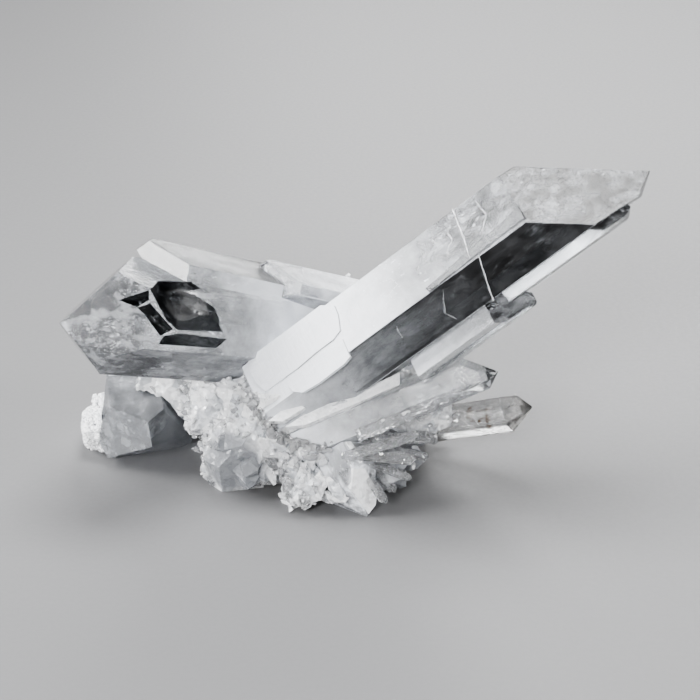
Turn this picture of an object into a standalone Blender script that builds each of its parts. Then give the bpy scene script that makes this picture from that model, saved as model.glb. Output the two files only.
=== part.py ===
"""Quartz crystal cluster: clear crystals grown together on a milky base.

Each crystal is a block trimmed by its natural faces. Six long faces stand around
its axis, 60 degrees apart, and each of them has an end face above it that leans
in to the tip. Lengths in the tables are millimetres and angles are degrees; the
objects themselves are in metres, with +Z up and the floor at Z = 0.
"""
import math
import random
from dataclasses import dataclass, replace

import bmesh
import bpy
from mathutils import Vector

MM = 0.001
# Angle between a crystal's axis and the square of an end face, the same on all quartz.
END_FACE_LEAN = math.radians(51.79)
# An end face set back this far is cut off by its neighbours, so it isn't there.
NO_FACE = 40.0
# Clearance that two touching pieces keep.
GAP = 0.3
# Width of the block that every shape is trimmed from.
BLOCK = 400.0
# Points closer than this are one point.
CLOSE_POINTS = 0.02
# A point this near a cutting plane lies on it, in metres.
ON_PLANE = 1e-7

# Broken blocks: how far a side leans at most, how many corners are worn off, and how
# far out those cuts stand compared with the block's own edge.
SIDE_LEAN = 0.28
WORN_CORNERS = 12
CORNER_REACH = (1.0, 1.16)

# Small crystals: how their length, thickness and faces vary, how far their feet stand
# apart in thicknesses, and how far back an end face may be set.
LENGTH_SPREAD = (0.7, 1.15)
THICKNESS_SPREAD = (0.75, 1.35)
FACE_SPREAD = (0.85, 1.15)
FOOT_SPREAD = (0.0, 2.2)
SMALL_SETBACKS = (0.0, 0.3, 1.2)


@dataclass(frozen=True)
class Crystal:
    """One crystal: where its tip is, how it points and how far out each face stands."""

    anchor: tuple
    azimuth: float
    rise: float
    roll: float
    widths: tuple
    setbacks: tuple
    length: float

    def frame(self):
        """The crystal's axis, and the two directions across it that its roll turns."""
        azimuth = math.radians(self.azimuth)
        rise = math.radians(self.rise)
        axis = Vector((
            math.cos(rise) * math.cos(azimuth),
            math.cos(rise) * math.sin(azimuth),
            math.sin(rise),
        ))
        upward = (Vector((0.0, 0.0, 1.0)) - axis * axis.z).normalized()
        return axis, upward, axis.cross(upward)

    def faces(self):
        """Each face of the crystal as its outward direction and its distance from the tip."""
        axis, upward, sideways = self.frame()
        for step in range(6):
            turn = math.radians(self.roll + 60.0 * step)
            outward = upward * math.cos(turn) + sideways * math.sin(turn)
            yield outward, self.widths[step]
            end = outward * math.sin(END_FACE_LEAN) + axis * math.cos(END_FACE_LEAN)
            yield end, self.setbacks[step]
        yield -axis, self.length

    def grown(self, extra):
        """The same crystal with every face moved out."""
        return replace(
            self,
            widths=tuple(width + extra for width in self.widths),
            setbacks=tuple(setback + extra for setback in self.setbacks),
            length=self.length + extra,
        )


@dataclass(frozen=True)
class Lump:
    """A broken block: its middle, half its size along each side, its turn and a seed."""

    anchor: tuple
    half_sizes: tuple
    turn: float
    seed: int

    def faces(self):
        """A box's six sides, leaning a little, and the cuts that wear its corners off."""
        draw = random.Random(self.seed)
        spin = math.radians(self.turn)
        for side in range(3):
            for sign in (-1.0, 1.0):
                outward = Vector((0.0, 0.0, 0.0))
                outward[side] = sign
                outward += Vector([draw.uniform(-SIDE_LEAN, SIDE_LEAN) for _ in range(3)])
                outward.normalize()
                yield self.turned(outward, spin), self.half_sizes[side]
        for corner in range(WORN_CORNERS):
            height = draw.uniform(-0.9, 0.9)
            around = math.tau * (corner + draw.random()) / WORN_CORNERS
            flat = math.sqrt(1.0 - height * height)
            outward = Vector((flat * math.cos(around), flat * math.sin(around), height))
            reach = math.hypot(*(outward[side] * self.half_sizes[side] for side in range(3)))
            yield self.turned(outward, spin), reach * draw.uniform(*CORNER_REACH)

    @staticmethod
    def turned(outward, spin):
        """A direction turned about the vertical."""
        return Vector((
            outward.x * math.cos(spin) - outward.y * math.sin(spin),
            outward.x * math.sin(spin) + outward.y * math.cos(spin),
            outward.z,
        ))

    def grown(self, extra):
        """The same block with every side moved out."""
        return replace(self, half_sizes=tuple(size + extra for size in self.half_sizes))


@dataclass(frozen=True)
class Patch:
    """Small crystals that fan out from one place on a piece."""

    root: tuple
    way: tuple
    fan: float
    count: int
    thickness: float
    length: float
    seed: int

    def crystals(self):
        """The crystals of the patch, no two alike."""
        draw = random.Random(self.seed)
        middle = Vector(self.way).normalized()
        across = middle.orthogonal().normalized()
        other = middle.cross(across)
        for _ in range(self.count):
            lean = math.radians(self.fan) * math.sqrt(draw.random())
            around = draw.uniform(0.0, math.tau)
            aside = across * math.cos(around) + other * math.sin(around)
            axis = middle * math.cos(lean) + aside * math.sin(lean)
            reach = self.length * draw.uniform(*LENGTH_SPREAD)
            foot = Vector(self.root) + aside * self.thickness * draw.uniform(*FOOT_SPREAD)
            size = self.thickness * draw.uniform(*THICKNESS_SPREAD)
            yield Crystal(
                tuple(foot + axis * reach),
                math.degrees(math.atan2(axis.y, axis.x)),
                math.degrees(math.asin(axis.z)),
                draw.uniform(0.0, 60.0),
                tuple(size * draw.uniform(*FACE_SPREAD) for _ in range(6)),
                tuple(draw.choice(SMALL_SETBACKS) for _ in range(6)),
                reach + self.thickness,
            )


def even(size):
    """The same distance for all six faces."""
    return (size,) * 6


# The big crystal that rises to the right, with two thin ones grown along its lower edge.
MAIN = Crystal((73.8, 4.0, 84.1), -1.4, 39.3, 35.7,
               (22.5, 17.4, 4.7, 1.6, 6.6, 19.0), (0.0, NO_FACE, 0.5, 2.5, 2.5, -0.5), 112.0)
UPPER_BLADE = Crystal((68.9, -4.0, 77.4), -1.4, 39.3, 35.7,
                      (9.0, 7.5, 2.2, 3.0, 5.0, 5.0), (0.0, 3.0, 0.0, 2.0, 0.0, 2.0), 37.0)
LOWER_BLADE = Crystal((46.6, -7.0, 53.2), -1.4, 39.3, 35.7,
                      (8.0, 6.5, 0.6, 3.0, 6.5, 6.5), (0.0, 0.0, 0.0, 0.0, 2.0, 2.0), 34.0)

# The clear crystal that points left and a second one grown along its upper back.
LEFT = Crystal((-69.3, -20.0, 53.7), -140.9, 20.2, -74.2,
               (12.0, 14.5, 15.5, 12.0, 11.0, 10.5), (0.0, 5.0, 0.2, 5.0, 1.2, 2.2), 58.0)
UPPER_LEFT = Crystal((-53.5, 2.0, 63.3), -150.6, 22.6, -74.5,
                     (8.5, 3.2, 3.0, 8.0, 12.0, 14.0), (0.0, 2.0, 0.0, 2.0, 0.0, 3.0), 60.0)

# The short crystal behind it.
REAR = Crystal((-24.4, 16.0, 52.6), -161.1, 20.4, -71.1,
               (8.0, 2.6, 2.6, 8.0, 8.0, 8.0), (0.0, 2.0, 0.0, 2.0, 0.0, 3.0), 36.0)

# The stout crystal low on the left, and the white crust its foot is grown over with.
LOWER_LEFT = Crystal((-52.7, 6.0, 12.7), -81.2, -6.1, 6.9,
                     (3.8, 10.5, 15.5, 15.0, 12.0, 5.3), (NO_FACE, 5.3, NO_FACE, 7.0, NO_FACE, 4.7), 26.0)
FOOT_CRUST = Lump((-66.0, 18.0, 6.0), (6.0, 6.0, 6.5), 20.0, 18)
FOOT_PATCH = Patch((-65.5, 16.0, 6.0), (-0.55, -0.8, -0.1), 70.0, 12, 1.7, 5.5, 26)

# The narrow blade below the big crystal.
FRONT_BLADE = Crystal((37.1, -13.0, 36.7), -1.9, 25.3, 67.8,
                      (3.4, 2.8, 2.8, 4.0, 6.2, 6.2), even(0.0), 55.0)

# The crystal with the brown stain, low on the right.
STAINED = Crystal((47.3, -1.8, 21.1), -22.8, 18.9, 71.1,
                  (5.0, 5.0, 5.0, 5.0, 3.2, 3.2), even(0.0), 36.0)

# The crystal that points down to the floor in front.
FRONT = Crystal((4.3, -22.0, 0.0), -58.3, -38.4, 55.5,
                (6.5, 6.0, 6.0, 6.0, 8.5, 8.5), even(0.0), 27.0)

# The milky base: its broken blocks, and the patches of small crystals they carry.
HEART = Lump((-8.0, 0.0, 17.0), (24.0, 13.0, 13.5), 8.0, 11)
BASE_BLOCKS = (
    Lump((-16.0, 10.0, 25.0), (17.0, 10.0, 10.0), -14.0, 12),
    Lump((-31.5, 9.0, 18.5), (11.0, 10.0, 9.5), 12.0, 13),
    Lump((12.0, 2.0, 20.0), (14.0, 9.5, 9.0), 16.0, 14),
    Lump((-44.0, 20.0, 18.0), (13.0, 9.0, 12.0), -20.0, 15),
    Lump((-8.0, 17.0, 18.0), (19.0, 11.0, 15.0), -8.0, 16),
    Lump((-29.5, -1.0, 7.5), (8.5, 8.5, 8.5), 10.0, 17),
    Lump((3.0, -3.5, 9.5), (8.5, 7.0, 9.0), -12.0, 19),
    Lump((-1.0, 26.0, 29.0), (15.0, 9.0, 14.0), 10.0, 32),
    Lump((-26.0, 19.0, 30.0), (12.0, 10.0, 12.0), -16.0, 33),
    Lump((10.0, 17.0, 12.0), (9.5, 8.0, 12.5), 8.0, 34),
    Lump((-52.0, 29.0, 10.5), (13.0, 7.0, 11.0), -6.0, 35),
)
BASE_PATCHES = (
    Patch((-10.0, -11.0, 8.0), (-0.05, -0.75, -0.65), 38.0, 11, 2.5, 11.5, 21),
    Patch((-22.0, -8.0, 14.0), (-0.2, -1.0, 0.1), 42.0, 8, 2.4, 7.5, 22),
    Patch((-31.0, -4.0, 8.0), (-0.5, -0.8, -0.1), 50.0, 7, 3.0, 6.5, 23),
    Patch((-9.0, -11.5, 10.0), (0.0, -0.95, 0.15), 45.0, 9, 2.2, 6.5, 24),
    Patch((9.0, -7.0, 9.0), (0.85, -0.4, -0.1), 36.0, 9, 2.2, 9.0, 25),
    Patch((-33.0, 1.0, 18.0), (-0.3, -0.9, -0.1), 60.0, 9, 2.4, 3.5, 31),
    Patch((-3.0, 33.0, 24.0), (0.0, 1.0, 0.1), 50.0, 9, 3.4, 5.5, 27),
    Patch((-50.0, 34.0, 12.0), (-0.3, 0.9, 0.1), 48.0, 8, 3.0, 5.0, 28),
    Patch((15.0, 18.0, 15.0), (0.75, 0.6, 0.0), 42.0, 8, 2.8, 8.0, 29),
    Patch((-19.0, 26.0, 13.0), (-0.1, 0.9, -0.2), 60.0, 10, 2.8, 6.0, 42),
    Patch((10.0, 23.0, 10.0), (0.2, 0.9, -0.1), 60.0, 8, 2.6, 5.0, 37),
    Patch((-37.0, 25.0, 21.0), (-0.2, 0.8, 0.4), 60.0, 9, 2.6, 6.0, 38),
    Patch((-61.0, 29.0, 14.0), (-0.8, 0.3, 0.3), 55.0, 7, 2.4, 5.0, 39),
    Patch((-2.0, 29.0, 37.0), (0.1, 0.7, 0.7), 50.0, 9, 2.6, 4.5, 41),
)


def trim(solid, point, outward):
    """Cuts off what lies beyond a plane and closes the cut."""
    everything = solid.verts[:] + solid.edges[:] + solid.faces[:]
    cut = bmesh.ops.bisect_plane(
        solid, geom=everything, dist=ON_PLANE, plane_co=point, plane_no=outward, clear_outer=True)
    rim = [item for item in cut["geom_cut"] if isinstance(item, bmesh.types.BMEdge)]
    if rim:
        bmesh.ops.edgeloop_fill(solid, edges=rim)


def trimmed_block(anchor, faces):
    """A closed mesh: a large block trimmed by planes, each an outward direction and a distance."""
    solid = bmesh.new()
    bmesh.ops.create_cube(solid, size=BLOCK * MM)
    for outward, distance in faces:
        trim(solid, outward * distance * MM, outward)
    bmesh.ops.recalc_face_normals(solid, faces=solid.faces)
    bmesh.ops.translate(solid, vec=Vector(anchor) * MM, verts=solid.verts)
    return solid


def add_object(name, solid, collection):
    """Makes an object of a closed mesh."""
    mesh = bpy.data.meshes.new(name)
    solid.to_mesh(mesh)
    solid.free()
    piece = bpy.data.objects.new(name, mesh)
    collection.objects.link(piece)
    return piece


def add_shape(name, shape, collection):
    """Makes an object of one crystal or one block."""
    return add_object(name, trimmed_block(shape.anchor, shape.faces()), collection)


def new_collection(name, parent):
    """A collection inside another."""
    collection = bpy.data.collections.new(name)
    parent.children.link(collection)
    return collection


def combine(piece, operation, collection):
    """Joins a piece with a collection's solids, or cuts them out of it."""
    if collection.objects:
        step = piece.modifiers.new(operation.title(), "BOOLEAN")
        step.operation = operation
        step.operand_type = "COLLECTION"
        step.collection = collection
        step.solver = "EXACT"


def separate_bodies(solid):
    """The faces of a mesh in groups, one for each body that touches no other."""
    waiting = set(solid.faces)
    bodies = []
    while waiting:
        body = [waiting.pop()]
        for face in body:
            for edge in face.edges:
                for neighbour in edge.link_faces:
                    if neighbour in waiting:
                        waiting.remove(neighbour)
                        body.append(neighbour)
        bodies.append(body)
    return bodies


def settle(piece):
    """Makes the modifiers' result the piece's own mesh, tidied and in one body."""
    graph = bpy.context.evaluated_depsgraph_get()
    mesh = bpy.data.meshes.new_from_object(piece.evaluated_get(graph))
    piece.modifiers.clear()
    solid = bmesh.new()
    solid.from_mesh(mesh)
    bmesh.ops.remove_doubles(solid, verts=solid.verts, dist=CLOSE_POINTS * MM)
    bmesh.ops.dissolve_degenerate(solid, edges=solid.edges, dist=CLOSE_POINTS * MM)
    bodies = separate_bodies(solid)
    largest = max(bodies, key=len)
    stray = [face for body in bodies if body is not largest for face in body]
    bmesh.ops.delete(solid, geom=stray, context="FACES")
    solid.to_mesh(mesh)
    solid.free()
    mesh.name = piece.name
    piece.data = mesh


def quartz(name, colour, roughness, transmission):
    """A quartz finish, from clear to milky."""
    material = bpy.data.materials.new(name)
    material.use_nodes = True
    shader = material.node_tree.nodes["Principled BSDF"]
    shader.inputs["Base Color"].default_value = (*colour, 1.0)
    shader.inputs["Roughness"].default_value = roughness
    shader.inputs["Metallic"].default_value = 0.0
    shader.inputs["IOR"].default_value = 1.544
    shader.inputs["Transmission Weight"].default_value = transmission
    material.diffuse_color = (*colour, 1.0)
    return material


def centre_on_footprint(cluster, cutters):
    """Moves everything so that the middle of the cluster's footprint is the origin."""
    points = [point.co for piece in cluster.objects for point in piece.data.vertices]
    middle_x = (min(point.x for point in points) + max(point.x for point in points)) / 2.0
    middle_y = (min(point.y for point in points) + max(point.y for point in points)) / 2.0
    for piece in [*cluster.objects, *cutters.all_objects]:
        for point in piece.data.vertices:
            point.co -= Vector((middle_x, middle_y, 0.0))


def build():
    """Builds every piece of the cluster."""
    for old in list(bpy.data.objects):
        bpy.data.objects.remove(old, do_unlink=True)

    scene = bpy.context.scene.collection
    cluster = new_collection("Quartz crystal cluster", scene)
    cutters = new_collection("Joining and cutting solids", scene)
    clear = quartz("clear quartz", (0.90, 0.92, 0.95), 0.03, 1.0)
    milky = quartz("milky quartz", (0.88, 0.88, 0.90), 0.35, 0.25)
    stained = quartz("iron stained quartz", (0.80, 0.74, 0.66), 0.08, 0.85)

    # Shapes that overlap are one piece. Each piece gives way to those before it.
    pieces = (
        ("main_crystal", clear, (MAIN, UPPER_BLADE, LOWER_BLADE), ()),
        ("left_crystals", clear, (LEFT, UPPER_LEFT), ()),
        ("front_blade_crystal", clear, (FRONT_BLADE,), ()),
        ("rear_crystal", milky, (REAR,), ()),
        ("lower_left_crystal", clear, (LOWER_LEFT, FOOT_CRUST), (FOOT_PATCH,)),
        ("stained_crystal", stained, (STAINED,), ()),
        ("front_crystal", clear, (FRONT,), ()),
        ("milky_base", milky, (HEART, *BASE_BLOCKS), BASE_PATCHES),
    )

    floor = new_collection("floor", cutters)
    downward = ((Vector((0.0, 0.0, 1.0)), 0.0),)
    add_object("floor_block", trimmed_block((0.0, 0.0, 0.0), downward), floor)
    clearance = new_collection("earlier pieces with clearance", cutters)

    for name, material, shapes, patches in pieces:
        small = [crystal for patch in patches for crystal in patch.crystals()]
        joined = new_collection(f"{name} parts", cutters)
        piece = add_shape(name, shapes[0], cluster)
        piece.data.materials.append(material)
        for number, shape in enumerate((*shapes[1:], *small), 1):
            add_shape(f"{name}_part_{number}", shape, joined)
        combine(piece, "UNION", joined)
        combine(piece, "DIFFERENCE", floor)
        combine(piece, "DIFFERENCE", clearance)
        settle(piece)
        if name != pieces[-1][0]:
            for number, shape in enumerate((*shapes, *small)):
                add_shape(f"{name}_clearance_{number}", shape.grown(GAP), clearance)

    for cutter in cutters.all_objects:
        cutter.hide_render = True
        cutter.display_type = "WIRE"
    centre_on_footprint(cluster, cutters)


if __name__ == "__main__":
    build()
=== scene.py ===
"""The look of a quartz crystal cluster: clear crystals, their milky clouds and cracks, and the drusy base."""

import math
from dataclasses import dataclass

import bmesh
import bpy
import numpy as np
from bpy.props import FloatProperty, FloatVectorProperty, IntProperty, PointerProperty
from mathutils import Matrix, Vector, kdtree, noise


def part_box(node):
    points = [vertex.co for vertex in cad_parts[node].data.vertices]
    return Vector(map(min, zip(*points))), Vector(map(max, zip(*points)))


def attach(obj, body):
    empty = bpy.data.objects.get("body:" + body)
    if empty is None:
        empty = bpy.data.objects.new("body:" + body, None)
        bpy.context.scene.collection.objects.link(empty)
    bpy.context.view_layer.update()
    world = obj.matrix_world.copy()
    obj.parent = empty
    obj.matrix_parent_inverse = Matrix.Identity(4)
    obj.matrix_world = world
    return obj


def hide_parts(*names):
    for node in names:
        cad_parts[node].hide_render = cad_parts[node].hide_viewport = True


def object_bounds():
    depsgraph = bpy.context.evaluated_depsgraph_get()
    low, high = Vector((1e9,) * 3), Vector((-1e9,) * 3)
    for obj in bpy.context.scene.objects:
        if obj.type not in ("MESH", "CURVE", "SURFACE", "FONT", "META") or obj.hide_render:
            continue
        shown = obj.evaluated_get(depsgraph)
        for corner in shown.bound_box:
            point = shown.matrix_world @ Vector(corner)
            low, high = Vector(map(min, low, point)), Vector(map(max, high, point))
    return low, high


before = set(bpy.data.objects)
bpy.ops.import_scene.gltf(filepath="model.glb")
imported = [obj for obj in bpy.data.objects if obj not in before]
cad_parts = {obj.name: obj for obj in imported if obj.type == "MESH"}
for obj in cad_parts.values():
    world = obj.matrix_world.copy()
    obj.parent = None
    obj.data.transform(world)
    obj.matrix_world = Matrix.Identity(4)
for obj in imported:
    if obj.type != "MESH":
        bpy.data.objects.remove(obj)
CAD_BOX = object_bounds()

bl_info = {
    "name": "Quartz crystal cluster",
    "version": (1, 0, 0),
    "blender": (4, 5, 0),
    "location": "3D View > Sidebar > Quartz",
    "description": "Makes a quartz crystal cluster's clear crystals, milky clouds, cracks and drusy base",
    "category": "Add Mesh",
}

MM = 0.001
# Angle between a crystal's axis and the square of an end face, the same on all quartz.
END_FACE_LEAN = math.radians(51.79)
NO_FACE = 40.0
# The middle of the cluster's footprint, in the frame of the crystal table below.
FOOTPRINT_MIDDLE = Vector((0.98, 8.63, 0.0))


@dataclass(frozen=True)
class Crystal:
    """One crystal: where its tip is, how it points and how far out each face stands, in mm."""

    tip: tuple
    azimuth: float
    rise: float
    roll: float
    widths: tuple
    setbacks: tuple
    length: float

    def axes(self):
        """The crystal's axis, and the two directions across it."""
        azimuth = math.radians(self.azimuth)
        rise = math.radians(self.rise)
        axis = Vector((
            math.cos(rise) * math.cos(azimuth),
            math.cos(rise) * math.sin(azimuth),
            math.sin(rise),
        ))
        upward = (Vector((0.0, 0.0, 1.0)) - axis * axis.z).normalized()
        return axis, upward, axis.cross(upward)

    def start(self):
        """The tip in the row frame, in metres."""
        return (Vector(self.tip) - FOOTPRINT_MIDDLE) * MM

    def across(self, step):
        """The outward direction of one long face."""
        upward, sideways = self.axes()[1:]
        turn = math.radians(self.roll + 60.0 * step)
        return upward * math.cos(turn) + sideways * math.sin(turn)

    def square(self, step):
        """The direction across one long face, square to the axis."""
        return self.axes()[0].cross(self.across(step))

    def spot(self, along, up, side):
        """A spot in the row frame from its place in the crystal, in mm."""
        axis, upward, sideways = self.axes()
        return self.start() + (upward * up + sideways * side - axis * along) * MM

    def on_face(self, step, along, across, depth=0.0):
        """A spot on one long face, or depth below it, in the row frame."""
        outward = self.across(step)
        lift = outward * (self.widths[step] - depth) + self.square(step) * across
        return self.start() + (lift - self.axes()[0] * along) * MM

    def facing(self, normal):
        """The number of the face that a normal belongs to, long faces first, and how well it fits."""
        axis = self.axes()[0]
        fits = []
        for step in range(6):
            outward = self.across(step)
            fits.append((normal.dot(outward), step))
            end = outward * math.sin(END_FACE_LEAN) + axis * math.cos(END_FACE_LEAN)
            fits.append((normal.dot(end), step + 6))
        fit, number = max(fits)
        return number, fit

    def planes(self, inset, first, last):
        """The faces moved in by inset, between two distances from the tip."""
        axis = self.axes()[0]
        for step in range(6):
            outward = self.across(step)
            yield outward, max(self.widths[step] - inset, 0.6)
            end = outward * math.sin(END_FACE_LEAN) + axis * math.cos(END_FACE_LEAN)
            yield end, self.setbacks[step] - inset
        yield axis, -first
        yield -axis, last


CRYSTALS = {
    "main_crystal": Crystal(
        (73.8, 4.0, 84.1), -1.4, 39.3, 35.7,
        (22.5, 17.4, 4.7, 1.6, 6.6, 19.0), (0.0, NO_FACE, 0.5, 2.5, 2.5, -0.5), 112.0),
    "left_crystals": Crystal(
        (-69.3, -20.0, 53.7), -140.9, 20.2, -74.2,
        (12.0, 14.5, 15.5, 12.0, 11.0, 10.5), (0.0, 5.0, 0.2, 5.0, 1.2, 2.2), 58.0),
    "upper_left": Crystal(
        (-53.5, 2.0, 63.3), -150.6, 22.6, -74.5,
        (8.5, 3.2, 3.0, 8.0, 12.0, 14.0), (0.0, 2.0, 0.0, 2.0, 0.0, 3.0), 60.0),
    "rear_crystal": Crystal(
        (-24.4, 16.0, 52.6), -161.1, 20.4, -71.1,
        (8.0, 2.6, 2.6, 8.0, 8.0, 8.0), (0.0, 2.0, 0.0, 2.0, 0.0, 3.0), 36.0),
    "lower_left_crystal": Crystal(
        (-52.7, 6.0, 12.7), -81.2, -6.1, 6.9,
        (3.8, 10.5, 15.5, 15.0, 12.0, 5.3), (NO_FACE, 5.3, NO_FACE, 7.0, NO_FACE, 4.7), 26.0),
    "front_blade_crystal": Crystal(
        (37.1, -13.0, 36.7), -1.9, 25.3, 67.8,
        (3.4, 2.8, 2.8, 4.0, 6.2, 6.2), (0.0,) * 6, 55.0),
    "stained_crystal": Crystal(
        (47.3, -1.8, 21.1), -22.8, 18.9, 71.1,
        (5.0, 5.0, 5.0, 5.0, 3.2, 3.2), (0.0,) * 6, 36.0),
    "front_crystal": Crystal(
        (4.3, -22.0, 0.0), -58.3, -38.4, 55.5,
        (6.5, 6.0, 6.0, 6.0, 8.5, 8.5), (0.0,) * 6, 27.0),
}


@dataclass(frozen=True)
class Film:
    """How a crystal's faces turn milky: along the crystal, and face by face."""

    clear_to: float
    milky_from: float
    long_shift: tuple = (0.0,) * 6
    long_frost: tuple = (0.1,) * 6
    end_frost: tuple = (0.1,) * 6
    flecks: float = 1.0
    wisps: float = 1.1
    evenness: float = 0.0
    patchiness: float = 34.0


FILMS = {
    "main_crystal": Film(
        52.0, 98.0, (14.0, -22.0, -14.0, -30.0, -30.0, 0.0),
        (0.22, 0.04, 0.06, 0.0, 0.0, 0.08), (0.2, 0.06, 0.04, 0.0, 0.0, 0.04), 1.3),
    "left_crystals": Film(
        30.0, 64.0, (0.0, 0.0, 0.0, 0.0, 0.0, -4.0),
        (0.24, 0.16, 0.0, 0.0, 0.0, 0.3), (0.3, 0.22, 0.0, 0.0, 0.0, 0.3), 0.9, 0.7, 0.35),
    "rear_crystal": Film(-2.0, 34.0),
    "lower_left_crystal": Film(
        14.0, 42.0, (0.0,) * 6, (0.2, 0.2, 0.1, 0.1, 0.1, 0.1), (0.2, 0.24, 0.1, 0.2, 0.1, 0.1), 0.6, 0.1, 0.7, 8.0),
    "front_blade_crystal": Film(22.0, 58.0, (0.0,) * 6, (0.13,) * 6, (0.08,) * 6),
    "stained_crystal": Film(18.0, 48.0, (0.0,) * 6, (0.17,) * 6, (0.22,) * 6),
    "front_crystal": Film(4.0, 26.0, (0.0,) * 6, (0.6,) * 6, (0.75,) * 6, 0.5, 0.2, 0.3, 8.0),
}

# Thin overgrowths on the main crystal's top face: outlines along and across it, and thickness, in mm.
OVERGROWTHS = (
    (((109.2, -9.6), (110.5, -6.8), (109.9, -1.7), (108.5, 2.0), (97.9, 2.1), (91.1, 1.5), (85.9, 1.5),
      (83.2, 0.5), (81.9, -3.9), (81.8, -6.9), (85.2, -9.6)), 0.35),
    (((102.0, 5.4), (101.7, 6.9), (99.3, 9.0), (94.0, 9.6), (85.9, 9.4), (83.7, 8.7), (83.6, 3.0),
      (86.0, 3.2), (90.5, 3.8), (95.1, 4.7), (97.5, 5.4)), 0.3),
    (((28.2, 1.7), (28.2, 6.0), (42.0, 6.3), (57.8, 7.0), (58.3, 5.6), (54.4, 5.2), (44.0, 3.9),
      (34.4, 3.2)), 0.45),
)

# Sunk facets on the left crystal: corners in the crystal's own space and how deep each one is, in mm.
FACETS = (
    (((9.9, 8.0, -5.8), (15.5, 12.1, -9.0), (15.8, 9.8, -9.7), (13.4, 7.5, -8.9)), (0.1, 0.2, 1.3, 1.2)),
    (((13.4, 7.5, -8.9), (16.2, 9.1, -9.9), (23.9, 3.5, -11.5), (20.1, 1.6, -12.0)), (0.1, 1.3, 1.6, 0.2)),
    (((15.8, 12.4, -9.0), (20.9, 13.7, -5.1), (31.8, 14.0, -3.8), (30.5, 9.5, -9.8), (38.6, 6.2, -10.7),
      (39.8, 3.9, -11.4), (25.2, 3.4, -11.5), (21.5, 5.7, -10.9)), (0.2, 0.4, 1.6, 1.7, 0.7, 0.3, 0.8, 0.4)),
    (((19.8, -0.4, -12.5), (21.4, 1.7, -11.9), (26.1, 2.6, -11.6), (41.3, 2.2, -11.7), (38.0, -0.2, -12.4)),
     (0.1, 1.5, 1.7, 1.2, 0.1)),
)


# Thin blades and shards at the crystals' roots: tip, azimuth, rise, roll, the six widths and length.
SHARDS = (
    Crystal((32.2, -12.0, 32.1), 13.3, 18.1, 40.0, (1.0, 1.6, 1.6, 1.0, 1.6, 1.6), (0.0,) * 6, 33.0),
    Crystal((21.5, -9.0, 16.1), 21.6, -7.3, 15.0, (1.4, 2.4, 1.4, 1.2, 2.2, 1.6), (0.0, 1.5) * 3, 17.0),
    Crystal((20.2, -12.0, 11.9), 7.8, -16.0, 45.0, (1.2, 2.6, 1.0, 1.4, 2.4, 1.0), (0.0, 2.0) * 3, 18.0),
    Crystal((13.8, -15.0, 7.4), 0.0, -34.9, 25.0, (1.1, 2.4, 1.6, 1.3, 2.2, 1.5), (0.0, 2.0) * 3, 16.0),
    Crystal((11.7, -17.0, 4.2), -14.6, -50.0, 5.0, (1.4, 2.2, 1.1, 1.5, 1.9, 1.2), (0.0, 1.5) * 3, 16.0),
    Crystal((17.6, -15.5, 20.4), 14.0, 12.0, 20.0, (0.7, 1.7, 1.5, 0.6, 1.6, 1.4), (0.0, 2.5) * 3, 20.0),
    Crystal((16.8, -17.5, 14.2), -4.0, -4.0, 50.0, (0.8, 2.0, 1.3, 0.7, 1.8, 1.2), (0.0, 3.0) * 3, 19.0),
    Crystal((15.6, -19.5, 9.6), -12.0, -18.0, 5.0, (0.7, 1.8, 1.2, 0.8, 1.7, 1.1), (0.0, 3.0) * 3, 17.0),
    Crystal((9.2, -21.5, 3.6), -35.0, -48.0, 30.0, (0.8, 1.5, 1.1, 0.7, 1.6, 1.0), (0.0, 2.0) * 3, 12.0),
)

# Flat, bright blades at the roots and on the front crystal: the way each one faces, and its corners, in mm.
BLADES = (
    ((-0.2, -0.62, 0.76), ((-15.7, -19.7, 27.2), (-12.3, -21.5, 26.6), (-17.9, -23.4, 23.6), (-21.7, -22.6, 23.2))),
    ((-0.2, -0.62, 0.76),
     ((-17.4, -23.6, 22.0), (-13.6, -22.2, 24.2), (-6.0, -20.7, 27.4), (2.8, -19.2, 30.9),
     (11.6, -17.6, 34.5), (11.6, -20.2, 32.4), (4.1, -21.4, 29.4), (-3.5, -22.7, 26.4), (-12.3, -24.1, 22.9))),
    ((0.56, -0.79, 0.23),
     ((-0.1, -29.6, 13.3), (2.9, -27.7, 12.4), (5.1, -27.5, 7.5), (5.9, -27.8, 4.8),
      (5.6, -28.7, 2.4), (3.8, -30.4, 0.7), (-0.7, -31.4, 8.5))),
    ((0.39, -0.49, 0.78), ((-2.1, -23.9, 18.1), (-0.7, -23.2, 17.8), (2.6, -26.7, 14.0), (1.5, -27.7, 13.8))),
)
# Where the broken quartz closes around the large crystal's root, in the row frame, in mm.
ROOT_LINE = (
    (-26.4, -16.3, 27.4), (-24.8, -18.7, 26.1), (-23.3, -20.5, 24.2), (-21.8, -20.8, 21.9), (-20.0, -21.3, 19.9),
    (-17.5, -21.6, 18.0), (-13.6, -24.0, 16.9), (-9.9, -23.8, 15.3), (-6.0, -24.0, 16.4),
)
# The smooth lump low on the left of the base, and the clearer, splintery part low on the right, in mm.
LOBE = Vector((-31.0, -18.5, 9.0))
SPLINTERY = Vector((13.0, -18.0, 9.0))

# The space above the low crust on the lower left crystal's foot: outward directions and distances, in mm.
CRUST_TOP = (
    (Vector((1.0, 0.0, 0.0)), -67.2), (Vector((-1.0, 0.0, 0.0)), 90.0), (Vector((0.0, 1.0, 0.0)), 60.0),
    (Vector((0.0, -1.0, 0.0)), 60.0), (Vector((0.0, 0.0, 1.0)), 40.0), (Vector((0.0, 0.0, -1.0)), -8.4),
)

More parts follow.
